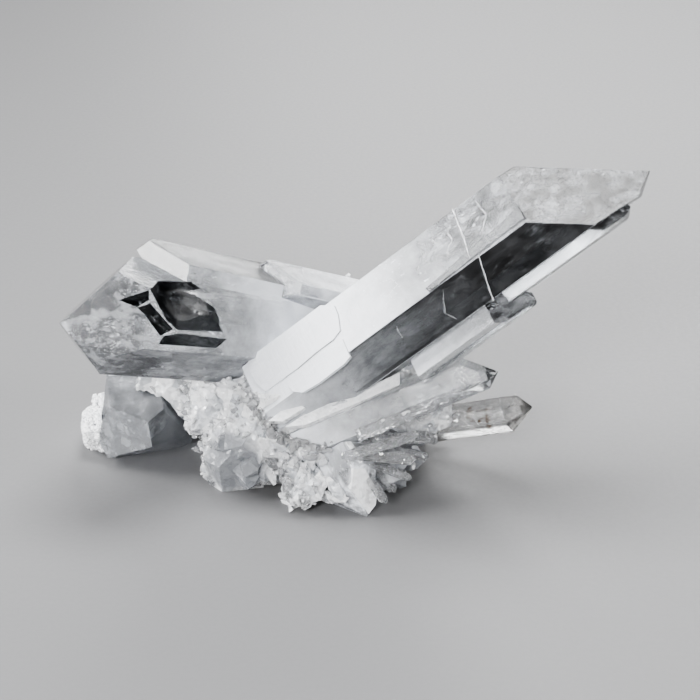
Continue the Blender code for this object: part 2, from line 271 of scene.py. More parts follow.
# Healed cracks that cross the main crystal: face, line along and across it, depth, in mm.
CRACKS = (
    (0, ((43.0, -9.3), (43.5, -5.0), (43.8, -1.0), (44.9, 5.8)), 2.6),
    (1, ((42.8, -16.0), (45.0, -10.0), (47.5, -4.0)), 3.4),
    (0, ((68.6, -4.3), (65.2, -3.3), (64.4, -0.7), (68.0, 0.4)), 1.2),
    (0, ((37.0, -7.0), (36.0, -2.0), (39.0, 1.5)), 1.6),
    (0, ((45.2, -5.4), (47.0, -4.6), (46.6, -2.0), (49.5, 0.4), (48.6, 2.2)), 0.9),
    (0, ((52.0, -6.5), (50.4, -3.0), (53.5, -0.6)), 0.8),
    (0, ((70.0, -1.5), (67.2, 1.4), (70.8, 2.6)), 0.8),
    (1, ((55.0, -14.5), (58.5, -9.0), (57.5, -6.0)), 1.0),
    (1, ((70.0, -14.0), (71.0, -10.5)), 0.9),
)


def in_box(place):
    """A spot, moved to the side of the cluster's box where it stands out of it."""
    return Vector([min(max(value, low), high) for value, low, high in zip(place, *CAD_BOX)])


def node_solid(name):
    """A node's solid with its flat faces whole again."""
    solid = bmesh.new()
    solid.from_mesh(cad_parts[name].data)
    bmesh.ops.remove_doubles(solid, verts=solid.verts, dist=0.00002)
    bmesh.ops.dissolve_limit(
        solid, angle_limit=math.radians(1.0), verts=solid.verts, edges=solid.edges)
    return solid


def trimmed_solid(middle, planes):
    """A closed block trimmed by planes, each an outward direction and a distance in mm."""
    solid = bmesh.new()
    bmesh.ops.create_cube(solid, size=0.4)
    for outward, distance in planes:
        everything = solid.verts[:] + solid.edges[:] + solid.faces[:]
        cut = bmesh.ops.bisect_plane(
            solid, geom=everything, dist=1e-7, plane_co=outward * distance * MM,
            plane_no=outward, clear_outer=True)
        rim = [item for item in cut["geom_cut"] if isinstance(item, bmesh.types.BMEdge)]
        if rim:
            bmesh.ops.edgeloop_fill(solid, edges=rim)
    bmesh.ops.recalc_face_normals(solid, faces=solid.faces)
    bmesh.ops.translate(solid, vec=middle, verts=solid.verts)
    return solid


def soften_edges(solid, width):
    """Wears every sharp edge of a solid a little."""
    sharp = [edge for edge in solid.edges
             if len(edge.link_faces) == 2 and edge.calc_face_angle(0.0) > math.radians(9.0)]
    bmesh.ops.bevel(
        solid, geom=sharp, offset=width, offset_type="OFFSET", segments=2, profile=0.55,
        affect="EDGES", clamp_overlap=True)


def scratch_object(solid):
    """A passing object for one Boolean step."""
    mesh = bpy.data.meshes.new("scratch")
    solid.to_mesh(mesh)
    solid.free()
    scratch = bpy.data.objects.new("scratch", mesh)
    bpy.context.scene.collection.objects.link(scratch)
    return scratch


def combined(solid, tools, operation):
    """A solid after each tool is joined to it or cut from it."""
    for tool in tools:
        work, other = scratch_object(solid), scratch_object(tool)
        step = work.modifiers.new("step", "BOOLEAN")
        step.operation = operation
        step.solver = "EXACT"
        step.object = other
        bpy.context.view_layer.update()
        result = work.evaluated_get(bpy.context.evaluated_depsgraph_get())
        solid = bmesh.new()
        solid.from_mesh(result.to_mesh())
        result.to_mesh_clear()
        for passing in (work, other):
            mesh = passing.data
            bpy.data.objects.remove(passing)
            bpy.data.meshes.remove(mesh)
    return solid


def overgrowth_solid(crystal, step, outline, thickness):
    """A thin plate on one long face of a crystal, rooted a little below it."""
    solid = bmesh.new()
    rings = [[solid.verts.new(crystal.on_face(step, along, across, depth)) for along, across in outline]
             for depth in (0.5, -thickness)]
    solid.faces.new(rings[0])
    solid.faces.new(rings[1])
    for corner in range(len(outline)):
        after = (corner + 1) % len(outline)
        solid.faces.new((rings[0][corner], rings[0][after], rings[1][after], rings[1][corner]))
    bmesh.ops.recalc_face_normals(solid, faces=solid.faces)
    return solid


def blade_solid(corners, outward, thickness):
    """A thin flat blade that stands a little out of the surface behind it."""
    solid = bmesh.new()
    rings = [[solid.verts.new((Vector(corner) + outward * lift) * MM) for corner in corners]
             for lift in (-1.8, thickness)]
    solid.faces.new(rings[0])
    solid.faces.new(rings[1])
    for corner in range(len(corners)):
        after = (corner + 1) % len(corners)
        solid.faces.new((rings[0][corner], rings[0][after], rings[1][after], rings[1][corner]))
    bmesh.ops.recalc_face_normals(solid, faces=solid.faces)
    return solid


def wrap(solid):
    """Turns loose points into the smallest many-sided solid around them."""
    bmesh.ops.convex_hull(solid, input=solid.verts[:])
    spare = [point for point in solid.verts if not point.link_faces]
    bmesh.ops.delete(solid, geom=spare, context="VERTS")
    solid.verts.index_update()


def facet_solid(crystal, corners, depths):
    """The space that a sunk facet takes out of a crystal."""
    spots = [crystal.spot(*corner) for corner in corners]
    outward = Vector()
    for number, spot in enumerate(spots):
        outward += spot.cross(spots[(number + 1) % len(spots)])
    outward.normalize()
    if outward.dot(spots[0] - crystal.spot(corners[0][0], 0.0, 0.0)) < 0.0:
        outward.negate()
    solid = bmesh.new()
    for spot, depth in zip(spots, depths):
        solid.verts.new(spot + outward * 1.5 * MM)
        solid.verts.new(spot - outward * depth * MM)
    wrap(solid)
    bmesh.ops.recalc_face_normals(solid, faces=solid.faces)
    return solid


def as_object(name, solid, *materials):
    """Makes a piece of the cluster from a mesh."""
    mesh = bpy.data.meshes.new(name)
    solid.to_mesh(mesh)
    solid.free()
    mesh.validate()
    piece = bpy.data.objects.new(name, mesh)
    bpy.context.scene.collection.objects.link(piece)
    for material in materials:
        mesh.materials.append(material)
    return piece


def array_object(name, points, faces, *materials):
    """Makes a piece of the cluster from lists of points and faces."""
    mesh = bpy.data.meshes.new(name)
    mesh.from_pydata([tuple(point) for point in points], [], faces)
    mesh.validate()
    mesh.update()
    piece = bpy.data.objects.new(name, mesh)
    bpy.context.scene.collection.objects.link(piece)
    for material in materials:
        mesh.materials.append(material)
    return piece


def mark_crystal_space(piece, crystal):
    """Stores each point's place in its crystal, in mm: along the axis from the tip, and across."""
    axis, upward, sideways = crystal.axes()
    start = crystal.start()
    places = []
    for point in piece.data.vertices:
        offset = (point.co - start) / MM
        places += [-offset.dot(axis), offset.dot(upward), offset.dot(sideways)]
    stored = piece.data.attributes.new("crystal_space", "FLOAT_VECTOR", "POINT")
    stored.data.foreach_set("vector", places)
    lean = piece.data.attributes.new("long_face", "FLOAT", "FACE")
    lean.data.foreach_set("value", [
        1.0 if abs(face.normal.dot(axis)) < 0.12 else 0.0 for face in piece.data.polygons])


def finish_piece(piece, slot, *nodes):
    """Puts a piece on the cluster's body and hides the model's nodes that it stands in for."""
    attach(piece, "root")
    if nodes:
        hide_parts(*nodes)
    return piece


class Tree:
    """Short words for adding nodes to a material or a group."""

    def __init__(self, tree):
        self.tree = tree

    def add(self, kind, **values):
        """A node, with its properties and inputs set by name."""
        node = self.tree.nodes.new(kind)
        for name, value in values.items():
            if hasattr(node, name):
                setattr(node, name, value)
            else:
                self.feed(node.inputs[name.replace("_", " ")], value)
        return node

    def feed(self, socket, value):
        """Links a socket to another, or sets its value."""
        if isinstance(value, bpy.types.NodeSocket):
            self.tree.links.new(value, socket)
        else:
            socket.default_value = value

    def maths(self, operation, first, second=0.0, third=0.0, clamp=False):
        """The result of one sum."""
        node = self.tree.nodes.new("ShaderNodeMath")
        node.operation = operation
        node.use_clamp = clamp
        for socket, value in zip(node.inputs, (first, second, third)):
            self.feed(socket, value)
        return node.outputs[0]

    def ramp(self, value, low, high, to_low=0.0, to_high=1.0):
        """A value eased from one range to another."""
        node = self.tree.nodes.new("ShaderNodeMapRange")
        node.interpolation_type = "SMOOTHSTEP"
        for name, given in (("Value", value), ("From Min", low), ("From Max", high),
                            ("To Min", to_low), ("To Max", to_high)):
            self.feed(node.inputs[name], given)
        return node.outputs["Result"]

    def cloud(self, place, scale, detail=4.0, stretch=None, roughness=0.55):
        """Soft noise over a place."""
        if stretch is not None:
            spread = self.tree.nodes.new("ShaderNodeVectorMath")
            spread.operation = "MULTIPLY"
            self.feed(spread.inputs[0], place)
            spread.inputs[1].default_value = stretch
            place = spread.outputs[0]
        node = self.tree.nodes.new("ShaderNodeTexNoise")
        self.feed(node.inputs["Vector"], place)
        node.inputs["Scale"].default_value = scale
        node.inputs["Detail"].default_value = detail
        node.inputs["Roughness"].default_value = roughness
        return node.outputs["Fac"]

    def blend(self, share, first, second):
        """A colour between two others."""
        node = self.tree.nodes.new("ShaderNodeMix")
        node.data_type = "RGBA"
        self.feed(node.inputs["Factor"], share)
        self.feed(node.inputs[6], first)
        self.feed(node.inputs[7], second)
        return node.outputs[2]


def new_group(name, inputs, outputs):
    """A shader group with named inputs and outputs, and its inner nodes."""
    group = bpy.data.node_groups.new(name, "ShaderNodeTree")
    for title, kind, value in inputs:
        socket = group.interface.new_socket(title, in_out="INPUT", socket_type=kind)
        if value is not None:
            socket.default_value = value
    for title, kind in outputs:
        group.interface.new_socket(title, in_out="OUTPUT", socket_type=kind)
    tree = Tree(group)
    return tree, tree.add("NodeGroupInput").outputs, tree.add("NodeGroupOutput").inputs


FLOAT = "NodeSocketFloat"
VECTOR = "NodeSocketVector"


def growth_lines_group():
    """Fine steps that run across a crystal's long faces, with a few broader ones."""
    group = bpy.data.node_groups.get("growth lines")
    if group is None:
        tree, given, result = new_group(
            "growth lines",
            [("Place", VECTOR, None), ("Long face", FLOAT, 1.0), ("Fineness", FLOAT, 1.0)],
            [("Height", FLOAT)])
        fine = tree.cloud(given["Place"], 1.0, 5.0, (5.0, 0.28, 0.28), 0.6)
        broad = tree.cloud(given["Place"], 1.0, 3.0, (0.9, 0.12, 0.12), 0.5)
        steps = tree.add("ShaderNodeMath", operation="SNAP")
        tree.feed(steps.inputs[0], broad)
        steps.inputs[1].default_value = 0.06
        swell = tree.cloud(given["Place"], 0.09, 2.0)
        lines = tree.maths("MULTIPLY_ADD", fine, given["Fineness"], steps.outputs[0])
        kept = tree.maths("MULTIPLY", lines, tree.ramp(given["Long face"], 0.0, 1.0, 0.25, 1.0))
        tree.feed(result["Height"], tree.maths("MULTIPLY_ADD", swell, 0.6, kept))
        group = tree.tree
    return group


def haze_group():
    """How milky or frosted a place is: more towards the root, in soft patches."""
    group = bpy.data.node_groups.get("haze")
    if group is None:
        tree, given, result = new_group(
            "haze",
            [("Place", VECTOR, None), ("Clear to", FLOAT, 20.0), ("Milky from", FLOAT, 60.0),
             ("Patchiness", FLOAT, 12.0), ("Patch size", FLOAT, 0.12)],
            [("Mask", FLOAT)])
        parts = tree.add("ShaderNodeSeparateXYZ")
        tree.feed(parts.inputs[0], given["Place"])
        patches = tree.add("ShaderNodeTexNoise", Detail=6.0, Roughness=0.62)
        tree.feed(patches.inputs["Vector"], given["Place"])
        tree.feed(patches.inputs["Scale"], given["Patch size"])
        shift = tree.maths("MULTIPLY", tree.maths("SUBTRACT", patches.outputs["Fac"], 0.5),
                           given["Patchiness"])
        along = tree.maths("ADD", parts.outputs["X"], shift)
        tree.feed(result["Mask"], tree.ramp(along, given["Clear to"], given["Milky from"]))
        group = tree.tree
    return group


def broken_facets_group():
    """The flat, tilted facets of broken quartz, with a random shade for each."""
    group = bpy.data.node_groups.get("broken facets")
    if group is None:
        tree, given, result = new_group(
            "broken facets", [("Place", VECTOR, None), ("Fineness", FLOAT, 400.0)],
            [("Height", FLOAT), ("Shade", FLOAT)])
        cells = tree.add("ShaderNodeTexVoronoi")
        tree.feed(cells.inputs["Vector"], given["Place"])
        tree.feed(cells.inputs["Scale"], given["Fineness"])
        offset = tree.add("ShaderNodeVectorMath", operation="SUBTRACT")
        tree.feed(offset.inputs[0], given["Place"])
        tree.feed(offset.inputs[1], cells.outputs["Position"])
        tilt = tree.add("ShaderNodeVectorMath", operation="SUBTRACT")
        tree.feed(tilt.inputs[0], cells.outputs["Color"])
        tilt.inputs[1].default_value = (0.5, 0.5, 0.5)
        slope = tree.add("ShaderNodeVectorMath", operation="DOT_PRODUCT")
        tree.feed(slope.inputs[0], offset.outputs[0])
        tree.feed(slope.inputs[1], tilt.outputs[0])
        tree.feed(result["Height"], tree.maths("MULTIPLY", slope.outputs["Value"], given["Fineness"]))
        parts = tree.add("ShaderNodeSeparateXYZ")
        tree.feed(parts.inputs[0], cells.outputs["Color"])
        tree.feed(result["Shade"], parts.outputs["X"])
        group = tree.tree
    return group


def crystal_place(tree):
    """Where a point is in its crystal."""
    return tree.add("ShaderNodeAttribute", attribute_name="crystal_space").outputs["Vector"]


def new_material(name):
    """A material, its tree and its shader."""
    material = bpy.data.materials.new(name)
    material.use_nodes = True
    return material, Tree(material.node_tree), material.node_tree.nodes["Principled BSDF"]


def use_group(tree, group, **values):
    """A group's node with its inputs set."""
    node = tree.add("ShaderNodeGroup", node_tree=group)
    for name, value in values.items():
        tree.feed(node.inputs[name.replace("_", " ").capitalize()], value)
    return node


def clear_quartz(name, settings, clear_to, milky_from, tint=(1.0, 1.0, 1.0, 1.0), bump=0.00016):
    """Clear quartz that frosts towards its root, with growth lines on its long faces."""
    material, tree, shader = new_material(name)
    place = crystal_place(tree)
    long_face = tree.add("ShaderNodeAttribute", attribute_name="long_face").outputs["Fac"]
    haze = use_group(tree, haze_group(), place=place, clear_to=clear_to, milky_from=milky_from)
    lines = use_group(tree, growth_lines_group(), place=place, long_face=long_face, fineness=0.5)
    smudge = tree.cloud(place, 0.35, 5.0)
    rough = tree.ramp(haze.outputs["Mask"], 0.0, 1.0, settings.clear_roughness, settings.root_roughness)
    rough = tree.maths("ADD", rough, tree.ramp(smudge, 0.5, 0.8, 0.0, 0.07))
    height = tree.add("ShaderNodeBump", Strength=1.0, Distance=bump)
    tree.feed(height.inputs["Height"], lines.outputs["Height"])
    tree.feed(shader.inputs["Base Color"], tint)
    tree.feed(shader.inputs["Roughness"], rough)
    tree.feed(shader.inputs["Normal"], height.outputs["Normal"])
    shader.inputs["Metallic"].default_value = 0.0
    shader.inputs["Transmission Weight"].default_value = 1.0
    shader.inputs["IOR"].default_value = 1.544
    absorb = tree.add("ShaderNodeVolumeAbsorption")
    absorb.inputs["Color"].default_value = (0.40, 0.43, 0.46, 1.0)
    absorb.inputs["Density"].default_value = settings.absorption
    tree.tree.links.new(absorb.outputs["Volume"], tree.tree.nodes["Material Output"].inputs["Volume"])
    return material


def film_quartz(name, film, settings, tint, bump=0.00014):
    """The milky, satiny film in a crystal's faces."""
    material, tree, shader = new_material(name)
    place = crystal_place(tree)
    shift = tree.add("ShaderNodeAttribute", attribute_name="milk_shift").outputs["Fac"]
    frost = tree.add("ShaderNodeAttribute", attribute_name="frost").outputs["Fac"]
    long_face = tree.add("ShaderNodeAttribute", attribute_name="long_face").outputs["Fac"]
    moved = tree.add("ShaderNodeVectorMath", operation="ADD")
    offset = tree.add("ShaderNodeCombineXYZ")
    tree.feed(offset.inputs["X"], shift)
    tree.feed(moved.inputs[0], place)
    tree.feed(moved.inputs[1], offset.outputs[0])
    haze = use_group(tree, haze_group(), place=moved.outputs[0], clear_to=film.clear_to,
                     milky_from=film.milky_from, patchiness=film.patchiness, patch_size=0.1)
    lines = use_group(tree, growth_lines_group(), place=place, long_face=long_face, fineness=0.5)
    streaks = tree.ramp(tree.cloud(place, 1.0, 5.0, (0.12, 0.3, 0.3), 0.6), 0.4, 0.64,
                        0.15 + 0.9 * film.evenness, 1.3)
    wisps = tree.ramp(tree.cloud(place, 0.16, 6.0, None, 0.6), 0.5, 0.68)
    flecks = tree.ramp(tree.cloud(place, 0.9, 8.0, (0.6, 1.0, 1.0), 0.74), 0.57, 0.62)
    flecks = tree.maths("MULTIPLY", flecks, tree.ramp(tree.cloud(place, 0.09, 3.0), 0.42, 0.62, 0.1, 1.0))
    patchy = tree.maths("MULTIPLY", frost, tree.maths("MULTIPLY_ADD", wisps, film.wisps, streaks))
    patchy = tree.maths("MULTIPLY_ADD", tree.maths("MULTIPLY", flecks, frost), 2.6 * film.flecks, patchy)
    milk = tree.maths("MULTIPLY", haze.outputs["Mask"], settings.film_strength)
    alpha = tree.maths("MAXIMUM", milk, patchy, clamp=True)
    height = tree.add("ShaderNodeBump", Strength=1.0, Distance=bump)
    tree.feed(height.inputs["Height"], lines.outputs["Height"])
    tree.feed(shader.inputs["Alpha"], alpha)
    tree.feed(shader.inputs["Base Color"], tint)
    tree.feed(shader.inputs["Roughness"], tree.ramp(streaks, 0.15, 1.3, 0.12, 0.4))
    tree.feed(shader.inputs["Normal"], height.outputs["Normal"])
    shader.inputs["IOR"].default_value = 1.544
    return material


def milky_cloud(name, clear_to, milky_from, strength, patchiness=26.0, patch_size=0.13):
    """The white clouds inside a crystal, denser towards its root."""
    material, tree, shader = new_material(name)
    place = crystal_place(tree)
    haze = use_group(tree, haze_group(), place=place, clear_to=clear_to, milky_from=milky_from,
                     patchiness=patchiness, patch_size=patch_size)
    wisps = tree.ramp(tree.cloud(place, 0.5, 7.0, (0.5, 1.0, 1.0), 0.7), 0.32, 0.68, 0.35, 1.0)
    alpha = tree.maths("MULTIPLY", haze.outputs["Mask"], wisps)
    tree.feed(shader.inputs["Alpha"], tree.maths("MULTIPLY", alpha, strength))
    shader.inputs["Base Color"].default_value = (0.985, 0.988, 0.992, 1.0)
    shader.inputs["Roughness"].default_value = 0.7
    shader.inputs["Transmission Weight"].default_value = 0.0
    return material


def veil(name, colour, strength, cover, grain=0.9, roughness=0.3):
    """A healed crack inside a crystal: a thin bright sheet that breaks up into specks."""
    material, tree, shader = new_material(name)
    sheet = tree.add("ShaderNodeAttribute", attribute_name="sheet").outputs["Vector"]
    parts = tree.add("ShaderNodeSeparateXYZ")
    tree.feed(parts.inputs[0], sheet)
    place = crystal_place(tree)
    radius = tree.maths("SQRT", tree.maths(
        "ADD", tree.maths("POWER", tree.maths("ABSOLUTE", parts.outputs["X"]), 2.0),
        tree.maths("POWER", tree.maths("ABSOLUTE", parts.outputs["Y"]), 2.0)))
    ragged = tree.maths("ADD", radius, tree.maths(
        "MULTIPLY", tree.maths("SUBTRACT", tree.cloud(place, 0.6, 6.0), 0.5), 1.6))
    edge = tree.ramp(ragged, 0.45, 0.95, 1.0, 0.0)
    specks = tree.ramp(tree.cloud(place, grain, 8.0, None, 0.75), 0.62 - cover * 0.3, 0.7 - cover * 0.2)
    tree.feed(shader.inputs["Alpha"], tree.maths(
        "MULTIPLY", tree.maths("MULTIPLY", edge, specks), strength))
    shader.inputs["Base Color"].default_value = colour
    shader.inputs["Roughness"].default_value = roughness
    return material


def line_quartz():
    """The white, splintery edge of a healed crack."""
    material, tree, shader = new_material("crack edge")
    place = crystal_place(tree)
    grain = tree.cloud(place, 2.4, 5.0)
    tree.feed(shader.inputs["Base Color"], tree.blend(
        tree.ramp(grain, 0.35, 0.65), (0.86, 0.88, 0.91, 1.0), (0.985, 0.988, 0.992, 1.0)))
    tree.feed(shader.inputs["Roughness"], tree.ramp(grain, 0.3, 0.7, 0.15, 0.4))
    tree.feed(shader.inputs["Alpha"], tree.ramp(grain, 0.34, 0.5, 0.25, 1.0))
    return material


def object_place(tree):
    """Where a point is on the cluster, in metres."""
    return tree.add("ShaderNodeTexCoord").outputs["Object"]


def milky_quartz(settings):
    """Milky quartz of the base: broken facets, and smoother, greyer places."""
    material, tree, shader = new_material("milky quartz")
    place = object_place(tree)
    clearer = tree.add("ShaderNodeAttribute", attribute_name="clearer").outputs["Fac"]
    patches = tree.cloud(place, 120.0, 6.0)
    coarse = use_group(tree, broken_facets_group(), place=place, fineness=300.0)
    fine = use_group(tree, broken_facets_group(), place=place, fineness=950.0)
    height = tree.add("ShaderNodeBump", Strength=1.0, Distance=0.0026)
    tree.feed(height.inputs["Height"], tree.maths("MULTIPLY", tree.maths(
        "MULTIPLY_ADD", fine.outputs["Height"], 0.3, coarse.outputs["Height"]),
        tree.ramp(clearer, 0.0, 1.0, 1.0, 0.25)))
    shade = tree.maths("ADD", tree.maths("MULTIPLY", coarse.outputs["Shade"], 0.5),
                       tree.maths("MULTIPLY", patches, 0.6))
    colour = tree.blend(tree.ramp(shade, 0.3, 0.62), (*settings.shade, 1.0), (*settings.colour, 1.0))
    colour = tree.blend(tree.maths("MULTIPLY", clearer, 0.85), colour, (*settings.clearer, 1.0))
    tree.feed(shader.inputs["Base Color"], colour)
    tree.feed(shader.inputs["Roughness"], tree.ramp(fine.outputs["Shade"], 0.1, 0.9, 0.06, 0.3))
    tree.feed(shader.inputs["Normal"], height.outputs["Normal"])
    shader.inputs["Subsurface Weight"].default_value = 0.2
    shader.inputs["Subsurface Radius"].default_value = (1.0, 1.0, 1.0)
    shader.inputs["Subsurface Scale"].default_value = 0.003
    shader.inputs["IOR"].default_value = 1.544
    return material


def druse_quartz(name, roughness, clearness):
    """The small crystals and splinters of the base."""
    material, tree, shader = new_material(name)
    place = object_place(tree)
    patches = tree.cloud(place, 260.0, 5.0)
    facets = use_group(tree, broken_facets_group(), place=place, fineness=1400.0)
    height = tree.add("ShaderNodeBump", Strength=1.0, Distance=0.0004)
    tree.feed(height.inputs["Height"], facets.outputs["Height"])
    tree.feed(shader.inputs["Base Color"], tree.blend(
        tree.ramp(patches, 0.3, 0.7), (0.93, 0.94, 0.96, 1.0), (0.985, 0.988, 0.992, 1.0)))
    tree.feed(shader.inputs["Roughness"], tree.ramp(patches, 0.35, 0.7, roughness * 0.4, roughness * 1.8))
    tree.feed(shader.inputs["Normal"], height.outputs["Normal"])
    shader.inputs["Transmission Weight"].default_value = clearness
    shader.inputs["IOR"].default_value = 1.544
    return material


def floor_finish(colour):
    """The pale, matt table."""
    material, tree, shader = new_material("pale table")
    place = object_place(tree)
    speckle = tree.cloud(place, 700.0, 3.0)
    tree.feed(shader.inputs["Base Color"], tree.blend(
        tree.ramp(speckle, 0.3, 0.7), (*(value * 0.995 for value in colour), 1.0), (*colour, 1.0)))
    tree.feed(shader.inputs["Roughness"], tree.ramp(speckle, 0.3, 0.7, 0.5, 0.6))
    return material


def glass_piece(name, node, crystal, width, materials, slot):
    """A crystal's clear body, made from its solid with softly worn edges, and its sunk windows; some faces get a
    painted shade tint.
    """
    solid = node_solid(node)
    if node == "main_crystal":
        solid = combined(solid, [overgrowth_solid(crystal, 0, *row) for row in OVERGROWTHS], "UNION")
    if node == "lower_left_crystal":
        solid = combined(solid, [trimmed_solid(Vector(), CRUST_TOP)], "DIFFERENCE")
    if node == "left_crystals":
        root = trimmed_solid(crystal.start(), crystal.planes(0.0, 56.0, 65.0))
        solid = combined(solid, [root], "UNION")
        solid = combined(solid, [facet_solid(crystal, *row) for row in FACETS], "DIFFERENCE")
    bmesh.ops.remove_doubles(solid, verts=solid.verts, dist=0.00002)
    bmesh.ops.dissolve_limit(
        solid, angle_limit=math.radians(1.0), verts=solid.verts, edges=solid.edges)
    soften_edges(solid, width)
    bmesh.ops.recalc_face_normals(solid, faces=solid.faces)
    piece = as_object(name, solid, *materials)
    # Faces picked here get the painted shade tint: on the left crystal its sunk facets, its long face 5 and the
    # upward end faces of its upper part; on the main crystal its end face 6 and its long face 1.
    if len(materials) > 1:
        for face in piece.data.polygons:
            offset = (face.center - crystal.start()) / MM
            along = -offset.dot(crystal.axes()[0])
            under = all(offset.dot(outward) < distance - 0.12
                        for outward, distance in crystal.planes(0.0, 0.0, crystal.length))
            shaded = crystal.facing(face.normal)[0] == 5 or (
                CRYSTALS["upper_left"].facing(face.normal)[0] > 5 and face.normal.z > 0.2)
            shaded = shaded or (under and along < 44.0)
            if node == "main_crystal":
                number = crystal.facing(face.normal)[0]
                level = abs(offset.dot(crystal.across(1)) - crystal.widths[1]) < 0.3
                shaded = number == 6 or (number == 1 and level)
            face.material_index = int(shaded)
    mark_crystal_space(piece, crystal)
    return finish_piece(piece, slot, node)


def film_piece(name, body, crystal, film, material, slot):
    """The milky film in a crystal's faces, a hair above the clear body."""
    solid = bmesh.new()
    solid.from_mesh(body.data)
    solid.normal_update()
    lifted = [in_box(point.co + point.normal * 0.03 * MM) for point in solid.verts]
    for point, place in zip(solid.verts, lifted):
        point.co = place
    piece = as_object(name, solid, material)
    piece.data.attributes.remove(piece.data.attributes["crystal_space"])
    piece.data.attributes.remove(piece.data.attributes["long_face"])
    mark_crystal_space(piece, crystal)
    shifts, frosts = [], []
    for face in piece.data.polygons:
        number, fit = crystal.facing(face.normal)
        offset = (face.center - crystal.start()) / MM
        raised = number < 6 and offset.dot(crystal.across(number)) > crystal.widths[number] + 0.1
        # On the left crystal's sunk facets and upper end faces the film is cleared, so the painted shade tint of the
        # body under it shows.
        if fit < 0.996 and face.area > 1.5 * MM * MM:
            behind, match = CRYSTALS["upper_left"].facing(face.normal)
            sunk = crystal is CRYSTALS["left_crystals"] and (match < 0.998 or behind > 5)
            shifts.append(-60.0 if sunk else 6.0)
            frosts.append(0.0 if sunk else 0.25)
        elif raised and -offset.dot(crystal.axes()[0]) < 70.0:
            shifts.append(-50.0)
            frosts.append(0.05)
        elif number < 6:
            shifts.append(film.long_shift[number])
            frosts.append(film.long_frost[number])
        else:
            shifts.append(0.0)
            frosts.append(film.end_frost[number - 6])
    for title, values in (("milk_shift", shifts), ("frost", frosts)):
        stored = piece.data.attributes.new(title, "FLOAT", "FACE")
        stored.data.foreach_set("value", values)
    return finish_piece(piece, slot)


def cloud_piece(name, crystal, insets, first, last, material, seed):
    """Nested clouds inside a crystal, a little uneven."""
    solid = bmesh.new()
    for number, inset in enumerate(insets):
        layer = trimmed_solid(crystal.start(), crystal.planes(inset, first, last))
        bmesh.ops.triangulate(layer, faces=layer.faces)
        bmesh.ops.subdivide_edges(layer, edges=layer.edges, cuts=5, use_grid_fill=True)
        for point in layer.verts:
            wave = noise.noise_vector(point.co * 160.0 + Vector((seed, number, 0.0)))
            point.co += wave * min(inset * 0.45, 1.2) * MM
        scratch = bpy.data.meshes.new("layer")
        layer.to_mesh(scratch)
        layer.free()
        solid.from_mesh(scratch)
        bpy.data.meshes.remove(scratch)
    piece = as_object(name, solid, material)
    mark_crystal_space(piece, crystal)
    return finish_piece(piece, "milky_quartz")


def veil_sheets(name, crystal, sheets, material, slot, seed):
    """Thin curved sheets inside a crystal: place, two edge directions in its own space, size and bend."""
    axis, upward, sideways = crystal.axes()
    start = crystal.start()
    steps = 14
    points, faces, sheet = [], [], []
    for number, (place, one_way, other_way, size, bend) in enumerate(sheets):
        base = len(points)
        for row in range(steps + 1):
            for column in range(steps + 1):
                u = 2.0 * column / steps - 1.0
                v = 2.0 * row / steps - 1.0
                spot = Vector(place) + Vector(one_way) * u * size[0] + Vector(other_way) * v * size[1]
                normal = Vector(one_way).cross(Vector(other_way)).normalized()
                wave = noise.noise(Vector((u * 1.3 + seed, v * 1.3, number * 3.1)))
                spot += normal * (bend * (u * u + v * v) + wave * bend * 1.5)
                points.append(start - axis * spot.x * MM + upward * spot.y * MM + sideways * spot.z * MM)
                sheet += [u, v, float(number)]
        for row in range(steps):
            for column in range(steps):
                corner = base + row * (steps + 1) + column
                faces.append((corner, corner + 1, corner + steps + 2, corner + steps + 1))
    piece = array_object(name, points, faces, material)
    stored = piece.data.attributes.new("sheet", "FLOAT_VECTOR", "POINT")
    stored.data.foreach_set("vector", sheet)
    mark_crystal_space(piece, crystal)
    return finish_piece(piece, slot)


def crack_strips(name, crystal, rows, material):
    """Narrow sheets that run down into a crystal from lines on its long faces."""
    points, faces, sheet = [], [], []
    for number, (step, line, depth) in enumerate(rows):
        path = []
        for (start_along, start_across), (end_along, end_across) in zip(line, line[1:]):
            for part in range(8):
                share = part / 8.0
                path.append((start_along + (end_along - start_along) * share,
                             start_across + (end_across - start_across) * share))
        path.append(line[-1])
        base, rows_down = len(points), 5
        for place, (along, across) in enumerate(path):
            for down in range(rows_down):
                share = down / (rows_down - 1)
                wobble = noise.noise(Vector((place * 0.35, down * 0.6, number * 7.7))) * 0.5
                points.append(crystal.on_face(step, along + wobble + share * 0.6, across, 0.15 + depth * share))
                sheet += [2.0 * place / (len(path) - 1) - 1.0, share * 0.9, float(number)]
        for place in range(len(path) - 1):
            for down in range(rows_down - 1):
                corner = base + place * rows_down + down
                faces.append((corner, corner + 1, corner + rows_down + 1, corner + rows_down))
    piece = array_object(name, points, faces, material)
    stored = piece.data.attributes.new("sheet", "FLOAT_VECTOR", "POINT")
    stored.data.foreach_set("vector", sheet)
    mark_crystal_space(piece, crystal)
    return finish_piece(piece, "clear_quartz")


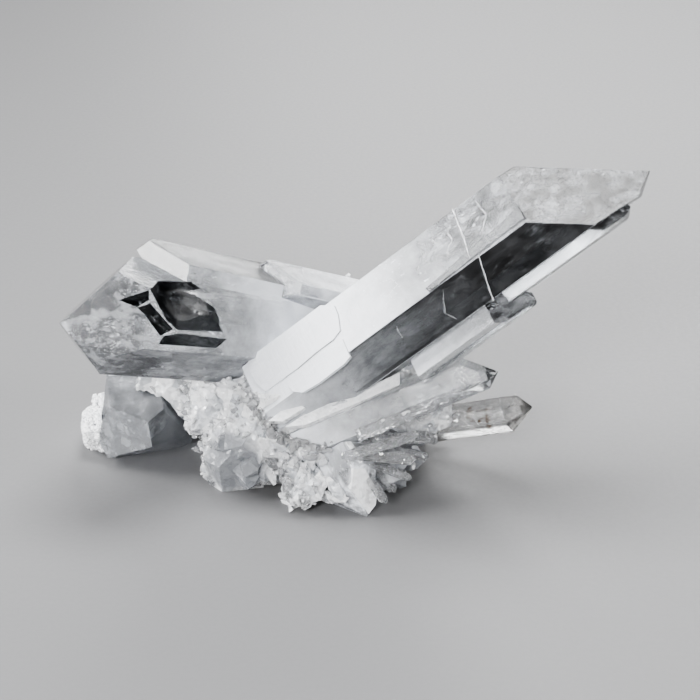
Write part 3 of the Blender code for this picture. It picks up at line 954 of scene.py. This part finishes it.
def crack_lines(name, crystal, rows, material):
    """The bright lines where healed cracks reach a crystal's long faces."""
    points, faces = [], []
    for number, (step, line, depth) in enumerate(rows):
        path = []
        for (start_along, start_across), (end_along, end_across) in zip(line, line[1:]):
            for part in range(6):
                share = part / 6.0
                path.append(Vector((start_along + (end_along - start_along) * share,
                                    start_across + (end_across - start_across) * share)))
        path.append(Vector(line[-1]))
        base = len(points)
        for place, spot in enumerate(path):
            ahead = path[min(place + 1, len(path) - 1)] - path[max(place - 1, 0)]
            aside = Vector((-ahead.y, ahead.x)).normalized()
            width = 0.04 * depth * (1.0 + noise.noise(Vector((place * 0.9, number * 5.1, 0.0))) * 0.9)
            bend = aside * noise.noise(Vector((place * 0.5, number * 3.3, 4.0))) * 0.22
            for edge in (spot + bend - aside * width, spot + bend + aside * width):
                points.append(crystal.on_face(step, edge.x, edge.y, -0.06))
        for place in range(len(path) - 1):
            corner = base + place * 2
            faces.append((corner, corner + 1, corner + 3, corner + 2))
    piece = array_object(name, points, faces, material)
    mark_crystal_space(piece, crystal)
    return finish_piece(piece, "clear_quartz")


def random_sheets(draw, crystal, count, along, up, side, sizes, bend):
    """Small sheets at random places and turns within a part of a crystal, all inside its faces."""
    axis, upward, sideways = crystal.axes()
    planes = list(crystal.planes(0.5, 0.0, crystal.length))
    sheets = []
    for _ in range(count * 12):
        if len(sheets) == count:
            break
        place = (draw.uniform(*along), draw.uniform(*up), draw.uniform(*side))
        one = Vector(draw.normal(0.0, 1.0, 3)).normalized()
        other = one.cross(Vector(draw.normal(0.0, 1.0, 3))).normalized()
        size = draw.uniform(*sizes)
        middle = upward * place[1] + sideways * place[2] - axis * place[0]
        if all(middle.dot(outward) + size * 1.2 + bend < distance for outward, distance in planes):
            sheets.append((place, tuple(one), tuple(other), (size, size * draw.uniform(0.35, 0.9)), bend))
    return sheets


def inside_a_crystal(spot, margin):
    """True if a spot is inside one of the larger crystals, in mm beyond its faces."""
    for name, crystal in CRYSTALS.items():
        offset = (spot - crystal.start()) / MM
        room = margin + 2.2 if name == "front_crystal" else margin
        if all(offset.dot(outward) < distance + room
               for outward, distance in crystal.planes(0.0, 0.0, crystal.length)):
            return True
    return False


def splinters(draw, spots, sizes, stubbiness):
    """Small six-sided crystals, each with an uneven tip, standing on spots along their normals."""
    points, faces = [], []
    for (spot, normal), size in zip(spots, sizes):
        lean = Vector(draw.normal(0.0, 0.38, 3))
        axis = (normal + lean).normalized()
        one = axis.orthogonal().normalized()
        other = axis.cross(one)
        radius = size * draw.uniform(0.3, 0.5)
        height = size * draw.uniform(*stubbiness)
        spin = draw.uniform(0.0, math.tau)
        radii = radius * draw.uniform(0.75, 1.2, 6)
        shoulders = height * draw.uniform(0.45, 0.8, 6)
        base = len(points)
        for level in range(2):
            for side in range(6):
                turn = spin + side * math.tau / 6.0
                ring = (one * math.cos(turn) + other * math.sin(turn)) * radii[side]
                rise = -size * 0.35 if level == 0 else shoulders[side]
                points.append(spot + (ring + axis * rise) * MM)
        slip = (one * draw.normal() + other * draw.normal()) * radius * 0.22
        points.append(spot + (axis * height + slip) * MM)
        if (in_box(points[-1]) - points[-1]).length > 0.4 * MM:
            del points[base:]
            continue
        points[base:] = [in_box(point) for point in points[base:]]
        faces.append(tuple(base + side for side in reversed(range(6))))
        for side in range(6):
            after = (side + 1) % 6
            faces.append((base + side, base + after, base + 6 + after, base + 6 + side))
            faces.append((base + 6 + side, base + 6 + after, base + 12))
    return points, faces


def chips(draw, spots, sizes):
    """Broken, many-sided chips of quartz lying on spots."""
    points, faces = [], []
    for spot, normal in spots:
        size = draw.uniform(*sizes)
        stretch = Vector((draw.uniform(0.5, 1.3), draw.uniform(0.4, 1.0), draw.uniform(0.3, 0.8)))
        chip = bmesh.new()
        for corner in draw.normal(0.0, 1.0, (10, 3)):
            way = Vector(corner).normalized()
            chip.verts.new(Vector((way.x * stretch.x, way.y * stretch.y, way.z * stretch.z)) * size)
        wrap(chip)
        turn = Vector(draw.normal(0.0, 1.0, 3)).normalized().rotation_difference(normal)
        base = len(points)
        points += [in_box(spot + (turn @ point.co) * MM) for point in chip.verts]
        faces += [tuple(base + point.index for point in face.verts) for face in chip.faces]
        chip.free()
    return points, faces


def chip_surface(solid, size, depth, seed):
    """Breaks a solid's flat faces up into chipped, tilted cells, mostly inwards."""
    bmesh.ops.triangulate(solid, faces=solid.faces)
    for _ in range(4):
        long_edges = [edge for edge in solid.edges if edge.calc_length() > 1.1 * MM]
        if not long_edges:
            break
        bmesh.ops.subdivide_edges(solid, edges=long_edges, cuts=1)
        bmesh.ops.triangulate(solid, faces=[face for face in solid.faces if len(face.verts) > 3])
    draw = np.random.default_rng(seed)
    low, high = (Vector(corner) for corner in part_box("milky_base"))
    count = int((high.x - low.x) * (high.y - low.y) * (high.z - low.z) / size ** 3)
    cells = kdtree.KDTree(count)
    middles = [Vector(draw.uniform(low, high)) for _ in range(count)]
    tilts = [Vector(draw.normal(0.0, 1.0, 3)).normalized() for _ in range(count)]
    for number, middle in enumerate(middles):
        cells.insert(middle, number)
    cells.balance()
    solid.normal_update()
    moved = []
    for point in solid.verts:
        middle, number, _ = cells.find(point.co)
        slope = tilts[number].dot(point.co - middle) / size
        lift = depth * min(max(slope - 0.35, -1.3), 0.35) * (1.0 - 0.8 * smoothness(point.co))
        moved.append(point.co + point.normal * lift)
    for point, place in zip(solid.verts, moved):
        if point.co.z > 0.3 * MM:
            point.co = Vector((
                min(max(place.x, low.x), high.x), min(max(place.y, low.y), high.y), max(place.z, 0.0)))


def smoothness(spot):
    """How smooth and clear a spot of the base is, from 0 to 1: its two clearer places are."""
    shares = []
    for place, size in ((LOBE, 10.5), (SPLINTERY, 11.0)):
        shares.append(min(max((size - (spot / MM - place).length) / 3.0, 0.0), 1.0))
    return max(shares)


def druse_cover(spot):
    """How thickly small crystals cover a spot of the base: most low in the middle, in drifts."""
    drift = noise.noise(spot * 90.0) * 0.8
    low = 1.0 - min(max((spot.z / MM - 9.0) / 14.0, 0.0), 1.0)
    return min(max(0.08 + 0.7 * low + drift, 0.0), 1.0) * (1.0 - 0.95 * smoothness(spot))


def foot_crust(spot):
    """How thickly the white crust covers a spot of the lower left crystal's foot, from 0 to 1."""
    x, y, z = spot / MM
    if x > -60.0 or z > 9.5:
        return 0.0
    return min(max((-66.0 - x) / 3.0 + (y - 2.0) / 5.0, 0.0), 1.0) * min((9.5 - z) / 2.0, 1.0)


def surface_spots(draw, mesh, count):
    """Spots spread evenly over a mesh, each with its normal."""
    mesh.calc_loop_triangles()
    corners = np.array([[mesh.vertices[index].co for index in triangle.vertices]
                        for triangle in mesh.loop_triangles])
    normals = np.cross(corners[:, 1] - corners[:, 0], corners[:, 2] - corners[:, 0])
    areas = np.linalg.norm(normals, axis=1)
    chosen = draw.choice(len(areas), size=count, p=areas / areas.sum())
    spots = []
    for index in chosen:
        one, other = sorted(draw.random(2))
        shares = (one, other - one, 1.0 - other)
        spot = sum((corners[index][corner] * shares[corner] for corner in range(3)), np.zeros(3))
        spots.append((Vector(spot), Vector(normals[index] / max(areas[index], 1e-15))))
    return spots


class CrystalSettings(bpy.types.PropertyGroup):
    """Sizes and finish of the clear crystals."""

    edge_wear: FloatProperty(
        name="Edge wear", description="Width of the worn strip along each crystal edge",
        default=0.00022, min=0.00002, max=0.001, subtype="DISTANCE", unit="LENGTH", precision=5)
    clear_roughness: FloatProperty(
        name="Tip roughness", description="Roughness of the clearest faces",
        default=0.015, min=0.0, max=1.0, subtype="FACTOR")
    root_roughness: FloatProperty(
        name="Root roughness", description="Roughness of the faces near the milky root",
        default=0.22, min=0.0, max=1.0, subtype="FACTOR")
    absorption: FloatProperty(
        name="Absorption", description="How fast light fades inside a crystal, per metre",
        default=40.0, min=0.0, max=200.0)
    # Painted shade: a grey tint on the sunk facets and some faces of the main and left crystals, standing in for the
    # dark room seen through them and reflected in them.
    painted_shade_tint: FloatVectorProperty(
        name="Shaded faces", description="Tint of the sunk windows and of the darker faces",
        default=(0.66, 0.68, 0.71), size=3, min=0.0, max=1.0, subtype="COLOR")


class CloudSettings(bpy.types.PropertyGroup):
    """The milky clouds and cracks inside the crystals."""

    cloud_strength: FloatProperty(
        name="Cloud strength", description="How opaque the milky clouds are",
        default=0.85, min=0.0, max=1.0, subtype="FACTOR")
    film_strength: FloatProperty(
        name="Film strength", description="How opaque the milky film in the faces is at a root",
        default=0.88, min=0.0, max=1.0, subtype="FACTOR")
    crack_strength: FloatProperty(
        name="Crack strength", description="How opaque the healed cracks are",
        default=1.0, min=0.0, max=1.0, subtype="FACTOR")
    stain: FloatVectorProperty(
        name="Iron stain", description="Colour of the brown stain in the right-hand crystal",
        default=(0.16, 0.085, 0.04), size=3, min=0.0, max=1.0, subtype="COLOR")


class BaseSettings(bpy.types.PropertyGroup):
    """The milky base and its small crystals."""

    colour: FloatVectorProperty(
        name="Milky white", description="Colour of the base where it is whitest",
        default=(0.96, 0.965, 0.975), size=3, min=0.0, max=1.0, subtype="COLOR")
    shade: FloatVectorProperty(
        name="Grey patches", description="Colour of the base where it is clearer",
        default=(0.73, 0.75, 0.78), size=3, min=0.0, max=1.0, subtype="COLOR")
    clearer: FloatVectorProperty(
        name="Clearer places", description="Colour of the base's smooth, nearly clear lumps",
        default=(0.25, 0.26, 0.28), size=3, min=0.0, max=1.0, subtype="COLOR")
    chip_size: FloatProperty(
        name="Chip size", description="Width of the chipped cells in the base's surface",
        default=0.0034, min=0.001, max=0.01, subtype="DISTANCE", unit="LENGTH", precision=4)
    chip_depth: FloatProperty(
        name="Chip depth", description="How deep the chipped cells go",
        default=0.0009, min=0.0, max=0.004, subtype="DISTANCE", unit="LENGTH", precision=4)
    splinter_count: IntProperty(
        name="Small crystals", description="How many small crystals cover the base",
        default=3600, min=0, max=8000)
    chip_count: IntProperty(
        name="Chips", description="How many broken chips lie among the small crystals",
        default=500, min=0, max=3000)


class StageSettings(bpy.types.PropertyGroup):
    """The table and the lights."""

    floor_colour: FloatVectorProperty(
        name="Table", description="Colour of the table", default=(0.265, 0.265, 0.27), size=3,
        min=0.0, max=1.0, subtype="COLOR")
    key_power: FloatProperty(
        name="Key light", description="Power of the main soft light",
        default=8.0, min=0.0, max=200.0, unit="POWER")
    ambient: FloatProperty(
        name="Ambient light", description="Brightness of the dim room around the table",
        default=0.03, min=0.0, max=2.0)


class ClearCrystals(bpy.types.Operator):
    """Makes the clear bodies of the seven crystal pieces"""

    bl_idname = "quartz.clear_crystals"
    bl_label = "Clear crystals"

    def execute(self, context):
        """Makes each crystal's body from its solid."""
        settings = context.scene.quartz_crystals
        rows = (
            ("main_crystal", "clear_quartz", 38.0, 96.0, (1.0, 1.0, 1.0, 1.0)),
            ("left_crystals", "clear_quartz", 26.0, 58.0, (1.0, 1.0, 1.0, 1.0)),
            ("rear_crystal", "milky_quartz", -6.0, 18.0, (0.96, 0.97, 1.0, 1.0)),
            ("lower_left_crystal", "clear_quartz", 12.0, 34.0, (0.86, 0.88, 0.92, 1.0)),
            ("front_blade_crystal", "clear_quartz", 22.0, 60.0, (1.0, 1.0, 1.0, 1.0)),
            ("stained_crystal", "iron_stained_quartz", 8.0, 40.0, (1.0, 0.995, 0.985, 1.0)),
            ("front_crystal", "clear_quartz", 10.0, 30.0, (1.0, 1.0, 1.0, 1.0)),
        )
        for node, slot, clear_to, milky_from, tint in rows:
            materials = [clear_quartz(f"{node} quartz", settings, clear_to, milky_from, tint)]
            # The main and left crystals get a second material: clear quartz with the painted shade tint, for their
            # darker faces.
            if node in ("main_crystal", "left_crystals"):
                materials.append(clear_quartz(
                    f"{node} shaded faces", settings, 60.0, 90.0, (*settings.painted_shade_tint, 1.0)))
            glass_piece(f"{node}_body", node, CRYSTALS[node], settings.edge_wear, materials, slot)
        return {"FINISHED"}


class MilkyFilms(bpy.types.Operator):
    """Makes the milky films in the faces of the crystals"""

    bl_idname = "quartz.milky_films"
    bl_label = "Milky films"

    def execute(self, context):
        """Makes one film for each crystal's body."""
        settings = context.scene.quartz_clouds
        for name, film in FILMS.items():
            body = bpy.data.objects.get(f"{name}_body")
            if body is None:
                raise RuntimeError("Make the clear crystals first")
            stained = name == "stained_crystal"
            tint = (0.93, 0.915, 0.89, 1.0) if stained else (0.93, 0.953, 0.995, 1.0)
            slot = "iron_stained_quartz" if stained else "milky_quartz"
            material = film_quartz(f"{name} film", film, settings, tint)
            film_piece(f"{name}_film", body, CRYSTALS[name], film, material, slot)
        return {"FINISHED"}


class MilkyClouds(bpy.types.Operator):
    """Makes the milky clouds inside the crystals"""

    bl_idname = "quartz.milky_clouds"
    bl_label = "Milky clouds"

    def execute(self, context):
        """Makes the clouds of each crystal."""
        strength = context.scene.quartz_clouds.cloud_strength
        rows = (
            ("main_crystal", (1.6, 4.2), 12.0, 108.0, 46.0, 92.0),
            ("left_crystals", (2.2,), 10.0, 54.0, 20.0, 50.0),
            ("upper_left", (1.0,), 5.0, 56.0, 2.0, 40.0),
            ("rear_crystal", (1.0,), 3.0, 33.0, -12.0, 12.0),
            ("lower_left_crystal", (2.4,), 5.0, 24.0, 8.0, 32.0),
            ("front_blade_crystal", (1.0,), 8.0, 52.0, 12.0, 48.0),
            ("front_crystal", (1.8,), 5.0, 24.0, 4.0, 26.0),
        )
        for seed, (name, insets, first, last, clear_to, milky_from) in enumerate(rows):
            material = milky_cloud(f"{name} cloud", clear_to, milky_from, strength)
            cloud_piece(f"{name}_cloud", CRYSTALS[name], insets, first, last, material, seed)
        return {"FINISHED"}


class HealedCracks(bpy.types.Operator):
    """Makes the healed cracks, veils and brown stain inside the crystals"""

    bl_idname = "quartz.healed_cracks"
    bl_label = "Cracks, veils and stain"

    def execute(self, context):
        """Makes the cracks, veils and stain."""
        settings = context.scene.quartz_clouds
        strength = settings.crack_strength
        draw = np.random.default_rng(21)
        crack = veil("healed crack", (0.97, 0.98, 1.0, 1.0), strength, 1.0, 0.5)
        crack_strips("main_crystal_cracks", CRYSTALS["main_crystal"], CRACKS, crack)
        crack_lines("main_crystal_crack_lines", CRYSTALS["main_crystal"], CRACKS, line_quartz())
        rows = (
            ("main_crystal", ((14, (14.0, 34.0), (-2.0, 12.0), (6.0, 15.0), (1.2, 3.6)),
                              (16, (36.0, 88.0), (2.0, 14.0), (-4.0, 12.0), (1.0, 3.2)))),
            ("left_crystals", ((26, (8.0, 34.0), (-6.0, 9.0), (-9.0, 4.0), (0.8, 2.8)),)),
            ("lower_left_crystal", ((9, (4.0, 18.0), (-6.0, 2.0), (-6.0, 10.0), (0.8, 2.2)),)),
            ("front_blade_crystal", ((9, (6.0, 36.0), (-2.0, 4.0), (-3.0, 2.0), (0.8, 2.4)),)),
            ("front_crystal", ((8, (5.0, 20.0), (-4.0, 5.0), (-3.0, 5.0), (0.8, 2.4)),)),
            ("stained_crystal", ((8, (5.0, 28.0), (-3.0, 3.0), (-3.0, 3.0), (0.8, 2.0)),)),
        )
        white = veil("bright veil", (0.98, 0.985, 0.99, 1.0), strength * 0.8, 0.55)
        for seed, (name, groups) in enumerate(rows):
            sheets = [sheet for count, along, up, side, sizes in groups
                      for sheet in random_sheets(draw, CRYSTALS[name], count, along, up, side, sizes, 0.5)]
            veil_sheets(f"{name}_veils", CRYSTALS[name], sheets, white, "clear_quartz", seed)
        brown = veil("iron stain", (*settings.stain, 1.0), 1.0, 0.9, 1.1, 0.6)
        dark = [sheet for row in (
            (7, (11.0, 17.5), (-2.0, 3.0), (-0.5, 3.6), (0.8, 2.0)),
            (4, (20.0, 28.0), (-1.0, 3.0), (0.0, 3.0), (0.7, 1.4)),
        ) for sheet in random_sheets(draw, CRYSTALS["stained_crystal"], *row, 0.4)]
        veil_sheets("stained_crystal_stain", CRYSTALS["stained_crystal"], dark, brown,
                    "iron_stained_quartz", 9)
        return {"FINISHED"}


class MilkyBase(bpy.types.Operator):
    """Makes the milky, broken mass that the crystals grow from"""

    bl_idname = "quartz.milky_base"
    bl_label = "Milky base"

    def execute(self, context):
        """Makes the base's mass."""
        settings = context.scene.quartz_base
        solid = node_solid("milky_base")
        chip_surface(solid, settings.chip_size, settings.chip_depth, 5)
        base = as_object("base_mass", solid, milky_quartz(settings))
        stored = base.data.attributes.new("clearer", "FLOAT", "POINT")
        stored.data.foreach_set("value", [smoothness(point.co) for point in base.data.vertices])
        finish_piece(base, "milky_quartz", "milky_base")
        return {"FINISHED"}


class SmallCrystals(bpy.types.Operator):
    """Makes the small crystals and splinters that cover the base"""

    bl_idname = "quartz.small_crystals"
    bl_label = "Small crystals"

    def execute(self, context):
        """Scatters the small crystals over the base."""
        settings = context.scene.quartz_base
        base = bpy.data.objects.get("base_mass")
        if base is None:
            raise RuntimeError("Make the milky base first")
        draw = np.random.default_rng(7)
        kinds = (
            ("base_fine_druse", 1.0, (0.8, 2.1), (0.7, 1.5), 0.1, 0.25),
            ("base_points", 0.2, (1.8, 4.0), (0.9, 1.7), 0.04, 0.8),
        )
        for name, share, sizes, stubbiness, roughness, clearness in kinds:
            count = int(settings.splinter_count * share)
            spots = [pair for pair in surface_spots(draw, base.data, count)
                     if pair[0].z > 1.0 * MM and not inside_a_crystal(pair[0], 0.8)
                     and draw.random() < druse_cover(pair[0])]
            lengths = draw.uniform(*sizes, len(spots))
            points, faces = splinters(draw, spots, lengths, stubbiness)
            material = druse_quartz(name.replace("_", " "), roughness, clearness)
            piece = array_object(name, points, faces, material)
            finish_piece(piece, "milky_quartz")
        foot = bpy.data.objects.get("lower_left_crystal_body")
        if foot is None:
            raise RuntimeError("Make the clear crystals first")
        spots = [pair for pair in surface_spots(draw, foot.data, 12000) if foot_crust(pair[0]) > draw.random()]
        points, faces = splinters(draw, spots, draw.uniform(0.7, 1.9, len(spots)), (0.35, 0.8))
        piece = array_object("foot_crust", points, faces, druse_quartz("foot crust", 0.3, 0.0))
        finish_piece(piece, "milky_quartz")
        shards = bmesh.new()
        for shard in SHARDS:
            scratch = bpy.data.meshes.new("shard")
            grown = trimmed_solid(shard.start(), shard.planes(0.0, 0.0, shard.length))
            soften_edges(grown, 0.06 * MM)
            grown.to_mesh(scratch)
            grown.free()
            shards.from_mesh(scratch)
            bpy.data.meshes.remove(scratch)
        for point in shards.verts:
            point.co = in_box(point.co)
        finish_piece(as_object("root_shards", shards, druse_quartz("root shards", 0.05, 0.85)), "milky_quartz")
        blades = bmesh.new()
        for facing, corners in BLADES:
            scratch = bpy.data.meshes.new("blade")
            blade = blade_solid(corners, Vector(facing).normalized(), 0.0)
            soften_edges(blade, 0.1 * MM)
            blade.to_mesh(scratch)
            blade.free()
            blades.from_mesh(scratch)
            bpy.data.meshes.remove(scratch)
        finish_piece(as_object("root_blades", blades, druse_quartz("root blades", 0.3, 0.0)), "milky_quartz")
        spots = [pair for pair in surface_spots(draw, base.data, settings.chip_count)
                 if pair[0].z > 1.5 * MM and not inside_a_crystal(pair[0], 1.0)
                 and smoothness(pair[0]) < 0.3]
        for start, end in zip(ROOT_LINE, ROOT_LINE[1:]):
            for share in draw.random(9):
                spot = Vector(start).lerp(Vector(end), share) + Vector(draw.normal(0.0, 0.8, 3))
                spots.append((spot * MM, Vector((-0.3, -0.8, 0.5)).normalized()))
        points, faces = chips(draw, spots, (0.8, 2.3))
        piece = array_object("base_chips", points, faces, druse_quartz("base chips", 0.05, 0.7))
        finish_piece(piece, "milky_quartz")
        return {"FINISHED"}


class Stage(bpy.types.Operator):
    """Makes the table, the soft lights and the camera"""

    bl_idname = "quartz.stage"
    bl_label = "Table, lights and camera"

    def execute(self, context):
        """Makes the table, lights and camera."""
        settings = context.scene.quartz_stage
        solid = bmesh.new()
        bmesh.ops.create_grid(solid, x_segments=8, y_segments=8, size=6.0)
        table = as_object("table", solid, floor_finish(settings.floor_colour))

        power = settings.key_power
        lights = (
            ("left", (-0.68, 0.03, 0.50), (0.56, 0.56), power * 0.85),
            ("top", (0.06, 0.14, 0.85), (0.50, 0.36), power * 0.6),
            ("back", (0.22, 0.86, 0.36), (0.70, 0.26), power * 0.55),
            ("front", (-0.30, -0.88, 0.46), (0.36, 0.30), power),
            ("right", (0.75, -0.15, 0.22), (0.20, 0.40), power * 0.3),
        )
        for name, place, size, strength in lights:
            light = bpy.data.lights.new(name, "AREA")
            light.shape = "RECTANGLE"
            light.size, light.size_y = size
            light.energy = strength
            lamp = bpy.data.objects.new(name, light)
            lamp.location = place
            lamp.rotation_euler = (Vector((0.0, 0.0, 0.03)) - lamp.location).to_track_quat("-Z", "Y").to_euler()
            context.scene.collection.objects.link(lamp)

        world = bpy.data.worlds.new("dim room")
        world.use_nodes = True
        sky = world.node_tree.nodes["Background"]
        sky.inputs["Color"].default_value = (1.0, 1.0, 1.0, 1.0)
        sky.inputs["Strength"].default_value = settings.ambient
        context.scene.world = world

        elevation = math.radians(25.0)
        target = (Vector((0.0, 0.0, 36.5)) - FOOTPRINT_MIDDLE) * MM
        lens = bpy.data.cameras.new("camera")
        lens.lens = 100.0
        lens.sensor_width = 36.0
        lens.clip_start = 0.01
        camera = bpy.data.objects.new("camera", lens)
        camera.location = target + Vector((0.0, -math.cos(elevation), math.sin(elevation))) * 0.498
        camera.rotation_euler = (target - camera.location).to_track_quat("-Z", "Y").to_euler()
        context.scene.collection.objects.link(camera)
        context.scene.camera = camera
        context.scene.cycles.transparent_max_bounces = 12
        context.scene.view_settings.look = "AgX - High Contrast"
        return {"FINISHED"}


class QuartzPanel(bpy.types.Panel):
    """Lists the steps that make the cluster, and their settings"""

    bl_idname = "VIEW3D_PT_quartz"
    bl_label = "Quartz cluster"
    bl_space_type = "VIEW_3D"
    bl_region_type = "UI"
    bl_category = "Quartz"

    def draw(self, context):
        """Draws each step's button over its settings."""
        for operator, group in STEPS:
            box = self.layout.box()
            box.operator(operator.bl_idname)
            settings = getattr(context.scene, group)
            for name in settings.__annotations__:
                box.prop(settings, name)


STEPS = (
    (ClearCrystals, "quartz_crystals"),
    (MilkyFilms, "quartz_clouds"),
    (MilkyClouds, "quartz_clouds"),
    (HealedCracks, "quartz_clouds"),
    (MilkyBase, "quartz_base"),
    (SmallCrystals, "quartz_base"),
    (Stage, "quartz_stage"),
)
GROUPS = {
    "quartz_crystals": CrystalSettings,
    "quartz_clouds": CloudSettings,
    "quartz_base": BaseSettings,
    "quartz_stage": StageSettings,
}


def register():
    """Registers the settings, the operators and the panel."""
    for name, group in GROUPS.items():
        bpy.utils.register_class(group)
        setattr(bpy.types.Scene, name, PointerProperty(type=group))
    for operator, _ in STEPS:
        bpy.utils.register_class(operator)
    bpy.utils.register_class(QuartzPanel)


def unregister():
    """Takes the panel, the operators and the settings away again."""
    bpy.utils.unregister_class(QuartzPanel)
    for operator, _ in reversed(STEPS):
        bpy.utils.unregister_class(operator)
    for name, group in GROUPS.items():
        delattr(bpy.types.Scene, name)
        bpy.utils.unregister_class(group)


def main():
    """Makes the cluster."""
    register()
    bpy.ops.quartz.clear_crystals()
    bpy.ops.quartz.milky_films()
    bpy.ops.quartz.milky_clouds()
    bpy.ops.quartz.healed_cracks()
    bpy.ops.quartz.milky_base()
    bpy.ops.quartz.small_crystals()
    bpy.ops.quartz.stage()


if __name__ == "__main__":
    main()
